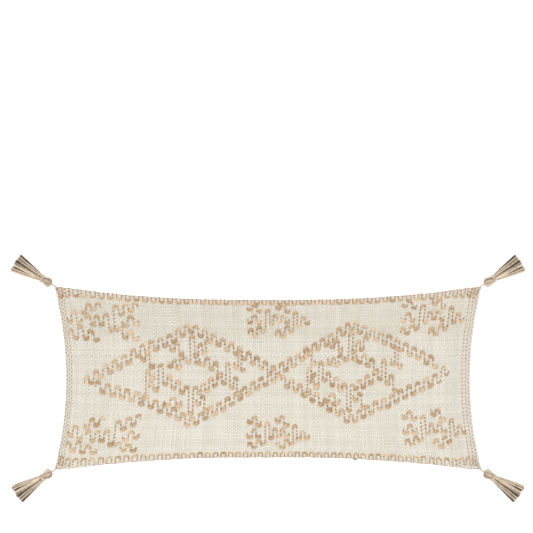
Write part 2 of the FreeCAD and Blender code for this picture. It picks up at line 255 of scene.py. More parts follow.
def swollen(front, back, cover):
    """How far the filling moves each point of the two panels, by cloth simulation."""
    bag, upper, lower = sewn_sheets("pillow_swelling", front, back)
    places = np.concatenate([front.reshape(-1, 3), back[1:-1, 1:-1].reshape(-1, 3)])
    seam = bag.vertex_groups.new(name="seam")
    border = np.concatenate([upper[0], upper[-1], upper[1:-1, 0], upper[1:-1, -1]])
    seam.add([int(k) for k in border], 1.0, "REPLACE")
    cloth = bag.modifiers.new("Filling", "CLOTH").settings
    for key, value in CLOTH.items():
        setattr(cloth, key, value)
    cloth.shrink_min = -cover.excess
    cloth.uniform_pressure_force = cover.pressure
    cloth.vertex_group_mass = "seam"
    cloth.effector_weights.gravity = 0
    for moment in range(1, SWELL_FRAMES + 1):
        bpy.context.scene.frame_set(moment)
    result = bag.evaluated_get(bpy.context.evaluated_depsgraph_get()).data
    moved = np.empty(len(result.vertices) * 3, np.float32)
    result.vertices.foreach_get("co", moved)
    bpy.data.objects.remove(bag)
    bpy.context.scene.frame_set(1)
    change = moved.reshape(-1, 3) - places
    reach = np.linalg.norm(change, axis=-1, keepdims=True)
    change *= cover.swell * np.tanh(reach / cover.swell) / np.maximum(reach, 1e-9)
    change[:, :2] *= SIDEWAYS
    return change[upper], change[lower]


def shaped_panels(cover):
    """Both panels as fine grids of points, each with its normals."""
    coarse_x = np.linspace(-PANEL_HALF_LONG, PANEL_HALF_LONG, 113)
    coarse_y = np.linspace(-PANEL_HALF_WIDE, PANEL_HALF_WIDE, 49)
    u, v = plan_fractions(coarse_x, coarse_y)
    front = pillow_surface(u, v, TOP_RISE)
    back = pillow_surface(u, v, -BOTTOM_RISE, lowest=0.0)
    changes = swollen(front, back, cover)
    columns = round((LAST_COLUMN - FIRST_COLUMN) * SPLITS)
    x = column_place(np.linspace(FIRST_COLUMN, LAST_COLUMN, columns + 1))
    y = np.linspace(-PANEL_HALF_WIDE, PANEL_HALF_WIDE, ROWS * SPLITS + 1)
    u, v = plan_fractions(x, y)
    at_x = (x + PANEL_HALF_LONG) / (2 * PANEL_HALF_LONG) * (len(coarse_x) - 1)
    at_y = (y + PANEL_HALF_WIDE) / (2 * PANEL_HALF_WIDE) * (len(coarse_y) - 1)
    panels = []
    for rise, side, change in ((TOP_RISE, 1, changes[0]), (-BOTTOM_RISE, -1, changes[1])):
        grid = pillow_surface(u, v, rise) + smooth_grid(change, at_x, at_y)
        grid[..., 2] -= side * creases(x, y, side < 0)
        grid[..., 2] = np.maximum(grid[..., 2], 0.0)
        grid = zip_lips(grid, x, y, ZIP_LIP if side < 0 else 0.72 * ZIP_LIP)
        panels.append((grid, surface_normals(grid, side)))
    return panels


# Shallow creases: x and y on the flat panel, the way they run in degrees, length, width, depth.
FOLDS = [
    (-0.375, 0.135, -32, 0.060, 0.010, 0.0022), (-0.345, 0.120, -20, 0.070, 0.012, 0.0014),
    (-0.380, -0.130, 34, 0.060, 0.011, 0.0022), (-0.340, -0.135, 16, 0.075, 0.010, 0.0013),
    (0.380, 0.130, 215, 0.055, 0.011, 0.0024), (0.350, 0.140, 198, 0.070, 0.010, 0.0014),
    (0.375, -0.135, 145, 0.060, 0.010, 0.0020), (0.350, -0.118, 158, 0.080, 0.013, 0.0014),
    (0.385, 0.025, 80, 0.050, 0.016, 0.0032), (-0.395, 0.010, 96, 0.060, 0.014, 0.0026),
    (-0.300, 0.060, 88, 0.090, 0.020, 0.0016), (0.300, -0.050, 84, 0.100, 0.022, 0.0015),
    (0.050, 0.165, 3, 0.140, 0.008, 0.0012), (-0.150, -0.168, -2, 0.150, 0.008, 0.0012),
]


def creases(x, y, mirrored):
    """How far the shallow creases lie under the surface, over the flat panel."""
    depth = 0
    for at_x, at_y, turn, long, wide, deep in FOLDS:
        if mirrored:
            at_x, turn = -at_x, 180 - turn
        cosine, sine = math.cos(math.radians(turn)), math.sin(math.radians(turn))
        dx, dy = x[:, None] - at_x, y[None, :] - at_y
        along, across = dx * cosine + dy * sine, dy * cosine - dx * sine
        depth = depth + deep * np.exp(-(along / long) ** 2 - (across / wide) ** 2)
    edge = np.minimum(PANEL_HALF_LONG - np.abs(x)[:, None], PANEL_HALF_WIDE - np.abs(y)[None, :])
    return depth * np.clip(edge / 0.02, 0, 1)


def zip_lips(grid, x, y, reach):
    """Draws the panel's edge back where the zip is, so that the tape shows between the lips."""
    lip = reach * np.clip((ZIP_REACH + 0.006 - np.abs(grid[:, 0, 0])) / 0.012, 0, 1)
    depth = np.clip((y + PANEL_HALF_WIDE) / 0.03, 0, 1)
    row = (y + lip[:, None] * (1 - depth) + PANEL_HALF_WIDE) / (y[1] - y[0])
    low = np.clip(row.astype(int), 0, len(y) - 2)
    share_up = (row - low)[..., None]
    take = np.arange(len(x))[:, None]
    return grid[take, low] * (1 - share_up) + grid[take, low + 1] * share_up


def weave_relief(columns, rows):
    """Height from 0 to 1 of a plain weave at chart places given as two matching grids."""
    i, j = np.floor(columns), np.floor(rows)
    fx, fy = columns - i - 0.5, rows - j - 0.5
    over = ((i + j) % 2) == 0
    along = np.where(over, fx, fy)
    across = np.where(over, fy, fx) - TWIST * along
    return np.maximum(np.cos(math.pi * across * 0.94), 0) * (0.35 + 0.65 * np.cos(math.pi * along * 0.9))


# ---- node graphs ---------------------------------------------------------------------------

class Graph:
    """Adds nodes to a tree and links what is passed to their sockets."""

    def __init__(self, tree):
        self.tree = tree

    def add(self, kind, inputs=None, **settings):
        node = self.tree.nodes.new(kind)
        for key, value in settings.items():
            setattr(node, key, value)
        for key, value in (inputs or {}).items():
            if isinstance(value, bpy.types.NodeSocket):
                self.tree.links.new(value, node.inputs[key])
            else:
                node.inputs[key].default_value = value
        return node

    def math(self, operation, *values):
        return self.add("ShaderNodeMath", dict(enumerate(values)), operation=operation).outputs[0]

    def mix(self, factor, first, second):
        """A colour mix."""
        node = self.add("ShaderNodeMix", {0: factor, 6: first, 7: second}, data_type="RGBA")
        return node.outputs[2]

    def blend(self, factor, first, second):
        """A number mix."""
        return self.add("ShaderNodeMix", {0: factor, 2: first, 3: second}).outputs[0]

    def noise(self, vector, scale, detail=2.0, **more):
        return self.add("ShaderNodeTexNoise", {"Vector": vector, "Scale": scale, "Detail": detail, **more})

    def attribute(self, name):
        return self.add("ShaderNodeAttribute", attribute_name=name).outputs["Fac"]

    def clamp(self, value):
        return self.add("ShaderNodeClamp", {0: value}).outputs[0]

    def shared(self, name, **inputs):
        """The outputs of a shared shader group."""
        return self.add("ShaderNodeGroup", inputs, node_tree=shared_tree(name)).outputs


SOCKETS = {"value": "NodeSocketFloat", "vector": "NodeSocketVector", "colour": "NodeSocketColor",
           "geometry": "NodeSocketGeometry", "material": "NodeSocketMaterial", "whole": "NodeSocketInt"}


def new_group(name, kind, inputs, outputs):
    """An empty node group with named sockets. Returns its graph, input sockets and output node."""
    tree = bpy.data.node_groups.new(name, kind)
    for direction, sockets in (("INPUT", inputs), ("OUTPUT", outputs)):
        for label, form in sockets.items():
            tree.interface.new_socket(label, in_out=direction, socket_type=SOCKETS[form])
    graph = Graph(tree)
    return graph, graph.add("NodeGroupInput").outputs, graph.add("NodeGroupOutput")


def plain_weave_group():
    """Plain weave on a UV map: height of the yarns, a mask of the gaps, a tone per yarn, and
    diagonal bands; the gap mask and the bands serve the cloth as painted shade."""
    g, given, out = new_group(
        "Plain weave", "ShaderNodeTree",
        {"UV": "vector", "Columns": "value", "Rows": "value"},
        {"Height": "value", "Gap": "value", "Yarn": "value", "Slant": "value"})
    place = g.add("ShaderNodeSeparateXYZ", {0: given["UV"]})
    x = g.math("MULTIPLY", place.outputs[0], given["Columns"])
    y = g.math("MULTIPLY", place.outputs[1], given["Rows"])
    i, j = g.math("FLOOR", x), g.math("FLOOR", y)
    over = g.math("PINGPONG", g.math("ADD", i, j), 1.0)
    slant = g.math("COSINE", g.math("MULTIPLY", g.math("SUBTRACT", x, y), math.pi))
    fx = g.math("SUBTRACT", g.math("SUBTRACT", x, i), 0.5)
    fy = g.math("SUBTRACT", g.math("SUBTRACT", y, j), 0.5)
    g.tree.links.new(g.math("MULTIPLY_ADD", slant, 0.5, 0.5), out.inputs["Slant"])
    along = g.blend(over, fx, fy)
    across = g.math("SUBTRACT", g.blend(over, fy, fx), g.math("MULTIPLY", along, TWIST))
    crown = g.math("MAXIMUM", g.math("COSINE", g.math("MULTIPLY", across, 2.9)), 0.0)
    run = g.math("COSINE", g.math("MULTIPLY", along, 2.8))
    height = g.math("MULTIPLY", crown, g.math("MULTIPLY_ADD", run, 0.65, 0.35))
    g.tree.links.new(height, out.inputs["Height"])
    gap = g.add("ShaderNodeMapRange", {"Value": height, "From Min": 0.42, "From Max": 0.05})
    g.tree.links.new(gap.outputs[0], out.inputs["Gap"])
    number = g.blend(over, j, g.math("ADD", i, 777.0))
    tone = g.add("ShaderNodeTexWhiteNoise", {"W": number}, noise_dimensions="1D")
    g.tree.links.new(tone.outputs["Value"], out.inputs["Yarn"])
    return g.tree


def fibre_group():
    """Fine fibres and slow patches of tone."""
    g, given, out = new_group("Fibre", "ShaderNodeTree", {"Vector": "vector", "Scale": "value"},
                              {"Fibre": "value", "Patch": "value"})
    fine = g.noise(given["Vector"], given["Scale"], 4.0, Roughness=0.65)
    slow = g.noise(given["Vector"], 38.0, 2.0)
    g.tree.links.new(fine.outputs[0], out.inputs["Fibre"])
    g.tree.links.new(slow.outputs[0], out.inputs["Patch"])
    return g.tree


def twist_group():
    """The ply of a yarn from its own lengthwise and round attributes: height and grooves."""
    g, given, out = new_group(
        "Ply", "ShaderNodeTree", {"Along": "value", "Around": "value", "Pitch": "value"},
        {"Height": "value", "Groove": "value"})
    phase = g.math("ADD", g.math("DIVIDE", given["Along"], given["Pitch"]),
                   g.math("MULTIPLY", given["Around"], 2.0))
    wave = g.math("ABSOLUTE", g.math("SINE", g.math("MULTIPLY", phase, math.pi)))
    g.tree.links.new(g.math("POWER", wave, 0.5), out.inputs["Height"])
    groove = g.add("ShaderNodeMapRange", {"Value": wave, "From Min": 0.5, "From Max": 0.0})
    g.tree.links.new(groove.outputs[0], out.inputs["Groove"])
    return g.tree


def new_material(name, roughness, **constants):
    """A material with its Principled shader. constants are socket values, set on the shader."""
    material = bpy.data.materials.new(name)
    material.use_nodes = True
    graph = Graph(material.node_tree)
    shader = material.node_tree.nodes["Principled BSDF"]
    shader.inputs["Roughness"].default_value = roughness
    for key, value in constants.items():
        shader.inputs[key.replace("_", " ")].default_value = value
    return material, graph, shader


def bumped(g, shader, height, distance, strength=1.0):
    bump = g.add("ShaderNodeBump", {"Height": height, "Distance": distance, "Strength": strength})
    g.tree.links.new(bump.outputs[0], shader.inputs["Normal"])


def shared_tree(name):
    """A node group, built the first time that it is asked for."""
    return bpy.data.node_groups.get(name) or TREES[name]()


def built_once(make):
    """Gives a material by its name, and makes it the first time."""
    @wraps(make)
    def fetch(name, *given, **settings):
        return bpy.data.materials.get(name) or make(name, *given, **settings)
    return fetch


@built_once
def cloth_material(name, cover, raised):
    """Plain-woven cotton. raised is true where the mesh has the yarns and bump adds only fibre."""
    material, g, shader = new_material(name, 0.9, Sheen_Weight=0.25, Sheen_Roughness=0.5,
                                       Specular_IOR_Level=0.25)
    where = g.add("ShaderNodeTexCoord")
    weave = g.shared("Plain weave", UV=where.outputs["UV"], Columns=LAST_COLUMN - FIRST_COLUMN,
                     Rows=ROWS)
    fibre = g.shared("Fibre", Vector=where.outputs["Object"], Scale=900.0)
    dull_and_shade = g.math("MULTIPLY_ADD", weave["Yarn"], 0.30, g.math("MULTIPLY", fibre["Patch"], 0.25))
    # The weave's gaps and one side of each diagonal band are darkened here: painted shade, on top of the
    # yarns' own dullness and patches.
    dull_and_shade = g.math("ADD", dull_and_shade, g.math("MULTIPLY", weave["Gap"], 0.6))
    dull_and_shade = g.math("MULTIPLY_ADD", weave["Slant"], 0.32, dull_and_shade)
    dull_and_shade = g.math("MULTIPLY_ADD", fibre["Fibre"], 0.35, g.math("SUBTRACT", dull_and_shade, 0.28))
    tint = g.mix(g.clamp(dull_and_shade), tuple(cover.cotton), tuple(cover.cotton_deep))
    g.tree.links.new(tint, shader.inputs["Base Color"])
    if raised:
        bumped(g, shader, fibre["Fibre"], 0.0002, 0.8)
    else:
        height = g.math("MULTIPLY_ADD", fibre["Fibre"], 0.25, weave["Height"])
        bumped(g, shader, height, 0.0008, 0.9)
    return material


@built_once
def yarn_material(name, light, deep, third, pitch, ply_depth=0.0003):
    """Twisted yarn coloured by its 'tone' attribute: 0 is shaded, 1 is light."""
    material, g, shader = new_material(name, 0.85, Sheen_Weight=0.3, Sheen_Roughness=0.5,
                                       Specular_IOR_Level=0.25)
    where = g.add("ShaderNodeTexCoord").outputs["Object"]
    ply = g.shared("Ply", Along=g.attribute("along"), Around=g.attribute("around"), Pitch=pitch)
    fibre = g.shared("Fibre", Vector=where, Scale=700.0)
    tone = g.attribute("tone")
    # Darker in the ply's grooves and where the tone is low: painted shade, together with the yarn's own tone
    # and fibres.
    shade = g.math("MULTIPLY_ADD", ply["Groove"], 0.35, g.math("SUBTRACT", 1.0, tone))
    shade = g.math("MULTIPLY_ADD", fibre["Fibre"], 0.7, g.math("SUBTRACT", shade, 0.35))
    patch = g.add("ShaderNodeMapRange", {"Value": g.noise(where, 90.0, 1.0).outputs[0],
                                         "From Min": 0.5, "From Max": 0.68, "To Max": 0.8})
    base = g.mix(patch.outputs[0], tuple(light), tuple(third))
    base = g.mix(g.clamp(shade), base, tuple(deep))
    g.tree.links.new(base, shader.inputs["Base Color"])
    height = g.math("MULTIPLY_ADD", fibre["Fibre"], 0.5, ply["Height"])
    bumped(g, shader, height, ply_depth, 0.9)
    return material


@built_once
def simple_fabric(name, light, deep, scale, roughness=0.85, pitch=None):
    """A fine fabric or thread whose pattern is finer than its mesh."""
    material, g, shader = new_material(name, roughness, Sheen_Weight=0.2, Sheen_Roughness=0.5)
    where = g.add("ShaderNodeTexCoord").outputs["Object"]
    height = g.shared("Fibre", Vector=where, Scale=scale)["Fibre"]
    if pitch:
        bars = {"Vector": where, "Scale": 0.314 / pitch, "Distortion": 0.4}
        ribs = g.math("MULTIPLY", *(g.add("ShaderNodeTexWave", bars, bands_direction=axis).outputs["Fac"]
                                    for axis in "XZ"))
        height = g.math("MULTIPLY_ADD", height, 0.4, ribs)
    # Colour follows the height: the fibres' own tone, and painted shade in the grooves between the ribs.
    tint = g.mix(g.math("MULTIPLY", height, 0.8), tuple(deep), tuple(light))
    g.tree.links.new(tint, shader.inputs["Base Color"])
    bumped(g, shader, height, 0.0002, 0.8)
    return material


@built_once
def metal_material(name, closure):
    """Dull worn metal."""
    material, g, shader = new_material(name, 0.4)
    where = g.add("ShaderNodeTexCoord").outputs["Object"]
    wear = g.noise(where, 900.0, 5.0)
    tint = g.mix(wear.outputs[0], tuple(closure.metal), linear(88, 76, 60))
    g.tree.links.new(tint, shader.inputs["Base Color"])
    shine = g.add("ShaderNodeMapRange", {"Value": g.noise(where, 2400.0, 3.0).outputs[0],
                                         "To Min": 0.24, "To Max": 0.5})
    g.tree.links.new(shine.outputs[0], shader.inputs["Roughness"])
    shader.inputs["Metallic"].default_value = 1.0
    bumped(g, shader, wear.outputs[0], 0.00004, 0.4)
    return material


# ---- geometry node trees -------------------------------------------------------------------

def yarn_tree():
    """Sweeps a flattened round section along lines. The lines' 'radius' attribute scales it."""
    g, given, out = new_group(
        "Yarn along lines", "GeometryNodeTree",
        {"Lines": "geometry", "Sides": "whole", "Flatness": "value", "Material": "material"},
        {"Yarns": "geometry"})
    curve = g.add("GeometryNodeMeshToCurve", {0: given["Lines"]}).outputs[0]
    curve = g.add("GeometryNodeSetCurveNormal", {0: curve}, mode="Z_UP").outputs[0]
    spline = g.add("GeometryNodeSplineParameter")
    curve = g.add("GeometryNodeStoreNamedAttribute",
                  {"Geometry": curve, "Name": "along", "Value": spline.outputs["Length"]}).outputs[0]
    ring = g.add("GeometryNodeCurvePrimitiveCircle", {"Resolution": given["Sides"], "Radius": 1.0})
    flat = g.add("ShaderNodeCombineXYZ", {0: 1.0, 1: given["Flatness"], 2: 1.0})
    ring = g.add("GeometryNodeTransform", {"Geometry": ring.outputs[0], "Scale": flat.outputs[0]}).outputs[0]
    round_it = g.add("GeometryNodeSplineParameter")
    ring = g.add("GeometryNodeStoreNamedAttribute",
                 {"Geometry": ring, "Name": "around", "Value": round_it.outputs["Factor"]}).outputs[0]
    radius = g.add("GeometryNodeInputNamedAttribute", {"Name": "radius"}).outputs[0]
    swept = g.add("GeometryNodeCurveToMesh",
                  {"Curve": curve, "Profile Curve": ring, "Scale": radius, "Fill Caps": True}).outputs[0]
    smooth = g.add("GeometryNodeSetShadeSmooth", {0: swept}).outputs[0]
    solid = g.add("GeometryNodeRealizeInstances", {0: smooth}).outputs[0]
    solid = g.add("GeometryNodeSetMaterial", {"Geometry": solid, "Material": given["Material"]}).outputs[0]
    g.tree.links.new(solid, out.inputs[0])
    return g.tree


def bead_tree():
    """Sets small rounded pieces along lines: stitches, or the teeth of a zip."""
    g, given, out = new_group(
        "Beads along lines", "GeometryNodeTree",
        {"Lines": "geometry", "Spacing": "value", "Size": "vector", "Facing": "vector",
         "Lean": "value", "Variation": "value", "Seed": "whole", "Material": "material"},
        {"Beads": "geometry"})
    curve = g.add("GeometryNodeMeshToCurve", {0: given["Lines"]}).outputs[0]
    curve = g.add("GeometryNodeResampleCurve", {"Curve": curve, "Length": given["Spacing"]},
                  mode="LENGTH").outputs[0]
    tangent = g.add("GeometryNodeInputTangent").outputs[0]
    turn = g.add("FunctionNodeAlignRotationToVector", {"Vector": tangent}, axis="X").outputs[0]
    turn = g.add("FunctionNodeAlignRotationToVector", {"Rotation": turn, "Vector": given["Facing"]},
                 axis="Z", pivot_axis="X").outputs[0]
    lean = g.add("ShaderNodeCombineXYZ", {2: given["Lean"]}).outputs[0]
    lean = g.add("FunctionNodeEulerToRotation", {0: lean}).outputs[0]
    turn = g.add("FunctionNodeRotateRotation", {0: turn, 1: lean}, rotation_space="LOCAL").outputs[0]
    bead = g.add("GeometryNodeMeshUVSphere", {"Segments": 6, "Rings": 4, "Radius": 0.5}).outputs[0]
    low = g.math("SUBTRACT", 1.0, given["Variation"])
    high = g.math("ADD", 1.0, given["Variation"])
    chance = g.add("FunctionNodeRandomValue", {2: low, 3: high, "Seed": given["Seed"]})
    scale = g.add("ShaderNodeVectorMath", {0: given["Size"], "Scale": chance.outputs[1]}, operation="SCALE")
    placed = g.add("GeometryNodeInstanceOnPoints", {"Points": curve, "Instance": bead, "Rotation": turn,
                                                    "Scale": scale.outputs[0]}).outputs[0]
    solid = g.add("GeometryNodeRealizeInstances", {0: placed}).outputs[0]
    solid = g.add("GeometryNodeSetShadeSmooth", {0: solid}).outputs[0]
    solid = g.add("GeometryNodeSetMaterial", {"Geometry": solid, "Material": given["Material"]}).outputs[0]
    g.tree.links.new(solid, out.inputs[0])
    return g.tree


def fuzz_tree():
    """Loose fibres standing off a yarn's surface."""
    g, given, out = new_group(
        "Fuzz", "GeometryNodeTree",
        {"Yarns": "geometry", "Density": "value", "Length": "value", "Thickness": "value",
         "Seed": "whole", "Material": "material"},
        {"Fuzz": "geometry"})
    spread = g.add("GeometryNodeDistributePointsOnFaces",
                   {"Mesh": given["Yarns"], "Density": given["Density"], "Seed": given["Seed"]})
    hair = g.add("GeometryNodeMeshCone", {"Vertices": 3, "Side Segments": 3, "Radius Top": 0.15,
                                          "Radius Bottom": 1.0, "Depth": 1.0}, fill_type="NONE").outputs[0]
    place = g.add("GeometryNodeInputPosition").outputs[0]
    height = g.add("ShaderNodeSeparateXYZ", {0: place}).outputs[2]
    bow = g.add("ShaderNodeCombineXYZ", {0: g.math("MULTIPLY", g.math("MULTIPLY", height, height), 5.0)})
    hair = g.add("GeometryNodeSetPosition", {"Geometry": hair, "Offset": bow.outputs[0]}).outputs[0]
    least, most = (-1.1, -1.1, -3.1), (1.1, 1.1, 3.1)
    swing = g.add("FunctionNodeRandomValue", {0: least, 1: most, "Seed": given["Seed"]},
                  data_type="FLOAT_VECTOR").outputs[0]
    swing = g.add("FunctionNodeEulerToRotation", {0: swing}).outputs[0]
    turn = g.add("FunctionNodeRotateRotation", {0: spread.outputs["Rotation"], 1: swing},
                 rotation_space="LOCAL").outputs[0]
    chance = g.add("FunctionNodeRandomValue", {2: 0.4, 3: 1.3, "Seed": given["Seed"]}).outputs[1]
    scale = g.add("ShaderNodeCombineXYZ", {0: given["Thickness"], 1: given["Thickness"],
                                           2: g.math("MULTIPLY", given["Length"], chance)}).outputs[0]
    placed = g.add("GeometryNodeInstanceOnPoints", {"Points": spread.outputs[0], "Instance": hair,
                                                    "Rotation": turn, "Scale": scale}).outputs[0]
    solid = g.add("GeometryNodeRealizeInstances", {0: placed}).outputs[0]
    solid = g.add("GeometryNodeSetMaterial", {"Geometry": solid, "Material": given["Material"]}).outputs[0]
    g.tree.links.new(solid, out.inputs[0])
    return g.tree


TREES = {"Plain weave": plain_weave_group, "Fibre": fibre_group, "Ply": twist_group,
         "Yarn along lines": yarn_tree, "Beads along lines": bead_tree, "Fuzz": fuzz_tree}


def grown(name, source, tree, material, **inputs):
    """Runs a tree on an object and returns a new object that holds the plain result."""
    modifier = source.modifiers.new("Grow", "NODES")
    modifier.node_group = tree
    wanted = {key.replace("_", " "): value for key, value in inputs.items()}
    wanted["Material"] = material
    for item in tree.interface.items_tree:
        if item.in_out == "INPUT" and item.name in wanted:
            modifier[item.identifier] = wanted[item.name]
    ready = source.evaluated_get(bpy.context.evaluated_depsgraph_get())
    mesh = bpy.data.meshes.new_from_object(ready)
    mesh.name = name
    mesh.polygons.foreach_set("material_index", [0] * len(mesh.polygons))
    mesh.materials.clear()
    mesh.materials.append(material)
    source.modifiers.remove(modifier)
    made = bpy.data.objects.new(name, mesh)
    bpy.context.scene.collection.objects.link(made)
    return made


def lines_object(lines):
    """One object of edges for many lines. A line is a list of (x, y, z, radius, tone)."""
    places = np.array([point for line in lines for point in line], float)
    edges, start = [], 0
    for line in lines:
        edges += [(k, k + 1) for k in range(start, start + len(line) - 1)]
        start += len(line)
    return mesh_object("lines", places[:, :3], edges=edges, radius=places[:, 3], tone=places[:, 4])


def along_lines(name, lines, tree, material, **inputs):
    source = lines_object(lines)
    made = grown(name, source, shared_tree(tree), material, **inputs)
    bpy.data.objects.remove(source)
    return made


def yarns(name, lines, material, sides=8, flatness=1.0):
    return along_lines(name, lines, "Yarn along lines", material, Sides=sides, Flatness=flatness)


def beads(name, lines, material, **inputs):
    return along_lines(name, lines, "Beads along lines", material, **inputs)


def joined(name, things):
    """Joins several objects into the first and names it."""
    with bpy.context.temp_override(active_object=things[0], selected_editable_objects=things):
        bpy.ops.object.join()
    things[0].name = things[0].data.name = name
    return things[0]


# ---- the weaver's chart --------------------------------------------------------------------

def zigzag(centre, first, last, reach=2.2, step=2.1, top_first=True):
    """Floats, as (column, row), that step to and fro about a centre line of (column, row)."""
    count = max(2, round(abs(last - first) / step))
    columns = np.linspace(first, last, count + 1)
    middle = np.interp(columns, [c for c, _ in centre], [r for _, r in centre])
    return [(c, r + (reach if (k % 2 == 0) != top_first else -reach))
            for k, (c, r) in enumerate(zip(columns, middle))]


# The centre lines of a diamond's sides: share of the half width from the apex, and row.
UPPER_SIDES = [(-1, 1), (-0.9, -2), (-0.8, -4.2), (-0.66, -7.5), (-0.51, -11.9), (-0.36, -15.2),
               (-0.22, -18.2), (-0.11, -21.8), (0, -24.8), (0.1, -22.4), (0.22, -19.5), (0.43, -15.3),
               (0.63, -10.4), (0.83, -5.2), (1, -0.5)]
LOWER_SIDES = [(-1, 1.8), (-0.88, 4.4), (-0.7, 8), (-0.51, 12), (-0.36, 15.5), (-0.15, 20.2), (-0.05, 24),
               (0, 24.8), (0.1, 22.2), (0.2, 19.3), (0.4, 15.2), (0.6, 10), (0.8, 5.5), (1, 2)]


def diamond(tip_left, apex, tip_right, middle):
    """The upper and the lower sides of a diamond, each as one run from tip to tip."""
    runs = []
    for sides, lift, stop_short in ((UPPER_SIDES, True, 0.0), (LOWER_SIDES, False, 5.0)):
        centre = [(apex + part * (apex - tip_left if part < 0 else tip_right - apex), middle + row)
                  for part, row in sides]
        left = zigzag(centre, apex - 2.1, tip_left + stop_short, top_first=lift)
        right = zigzag(centre, apex, tip_right, top_first=not lift)
        runs.append(left[::-1] + right)
    return runs


# Runs inside a diamond: (column, row), counted from its apex column and the middle row.
DIAMOND_RUNS = [
    [(-1.9, -6.4), (0, -20.2), (2.2, -6.4)],
    [(4.6, -5), (7.1, -8.5), (8.9, -3.2), (11.2, -6), (12.8, 0)],
    [(-9.3, -12.8), (-7, -16), (-5.3, -10.6)],
    [(-10.4, -4.4), (-8.5, -7), (-6.6, -4), (-5.2, -8.6)],
    [(1.9, -10.2), (3.8, -15.6), (5.8, -11.6), (7.2, -17.8)],
    [(13.2, -0.6), (14.9, 3.8), (17, -5.6), (18.8, 6.2), (20.8, 2), (22.5, 9.6)],
    [(21.5, -4), (23, -11.4), (24.6, -2.4)],
    [(-17, 7.1), (-15, -4.9), (-12.9, 4.4), (-11, 0.4), (-9.2, 6.7), (-7, 3.7), (-5.1, 8.8),
     (-2.8, 6.4), (-0.8, 20.2), (1.2, 6.6), (3.1, 8.6), (4.9, 4.4), (6.8, 7.8), (8.7, 2.1),
     (10.7, 5.6), (12.6, 0.2)],
    [(-22.4, -7.7), (-20.7, -11), (-19, -4)],
    [(-22.6, 11.8), (-20.9, -1.6), (-18.9, 1.8)],
    [(-19.2, 4.7), (-17.2, 7.8)],
    [(-12.3, 15.4), (-9.1, 11.8), (-6.4, 16)],
    [(2.8, 14.8), (4.9, 11.2), (6.4, 18.6)],
]

# The small arrows: (column, row), counted from a column and row that ARROWS gives.
ARROW_RUNS = [
    [(0, 10.8), (2.4, 7.8), (4.5, 12)],
    [(0, 19.2), (2.2, 15), (4.3, 19.1)],
    [(0.3, 23.2), (2.4, 26), (4.4, 21.6), (6.6, 23.8), (8.8, 10.9), (10.8, 19.7), (12.6, 14.6),
     (14.5, 18.6), (16.5, 14.6), (18.5, 19)],
    [(14.1, 9.8), (16.4, 7.6), (18.4, 12.2)],
    [(13.9, 23.6), (16.3, 26.8), (18.5, 21.5), (20.7, 24), (22.6, 12.6), (24.6, 20.5), (26.5, 16.1),
     (28.6, 19.7)],
]
LEFT_ARROW_RUNS = [
    [(2.1, 8.6), (0, 13.3), (-2.1, 10), (-4.3, 15.6), (-6.4, 11.6), (-8.8, 24.4), (-11.2, 16.6),
     (-13.2, 21.8), (-15, 17.3), (-16.9, 22), (-18.9, 17.4)],
    [(1.6, 21), (-0.5, 17.2), (-3, 22)],
    [(1.2, 29), (-1.2, 25), (-3.4, 28.4), (-5.6, 23.4)],
    [(-13.7, 10.2), (-15.8, 13.7), (-17.9, 10.8), (-20, 15.4)],
    [(-27.4, 20), (-25, 15.2), (-22.8, 21)],
    [(-27.8, 24.4), (-25.2, 28.2), (-22.8, 23), (-20.6, 29), (-18.1, 25.4), (-15.8, 29.4)],
]

# Each diamond: columns of its left tip, apex and right tip, its middle row, and the rows that
# its two tips lie off that row.
DIAMONDS = ((-104.2, -56.4, -16.2, 47, (2.6, -1.4)), (-16.2, 23.1, 71.5, 45.4, (-0.2, 0.0)))
TAIL_COLUMN = 67.0          # past here the right diamond only goes on as one thin yarn
TAIL_RUN = [(67.2, 51.1), (69.2, 43.3), (71.0, 47.6)]
ARROWS = ((ARROW_RUNS, -28, 0), (ARROW_RUNS, -28.2, 61.5), (ARROW_RUNS, 48.2, 0),
          (ARROW_RUNS, 49.8, 58), (LEFT_ARROW_RUNS, -83, 0), (LEFT_ARROW_RUNS, -83, 59.5))
BORDERS = ((6.2, 3.7), (92.2, 3.62))        # row of each border and the columns between its hooks
SIDE_LINES = (-115.4, -113.6, -112.0, 79.6, 82.0, 84.4)         # columns
EDGE_LINES = (1.2, 98.9)                                        # rows
FUZZ_DENSITY, FUZZ_LENGTH, FUZZ_THICKNESS = 60000.0, 0.0022, 0.00007


def chart_runs():
    """Every jute run of the front: a list of floats and how thick its floats are."""
    runs = []
    for tip_left, apex, tip_right, middle, lean in DIAMONDS:
        stations = (tip_left, (tip_left + apex) / 2, (apex + tip_right) / 2, tip_right)
        for side in diamond(tip_left, apex, tip_right, middle):
            runs.append(([(c, r + np.interp(c, stations, (lean[0], 0, 0, lean[1])))
                          for c, r in side if c < TAIL_COLUMN], 1.0))
        runs += [([(apex + c, middle + r) for c, r in run], 1.0) for run in DIAMOND_RUNS]
    runs.append((TAIL_RUN, 0.5))
    for arrow, first, down in ARROWS:
        runs += [([(first + c, down + r) for c, r in run], 1.0) for run in arrow]
    for row, step in BORDERS:
        runs += [([(c, row)], 0.8) for c in np.arange(FIRST_COLUMN + 5, LAST_COLUMN - 4, step)]
    return runs


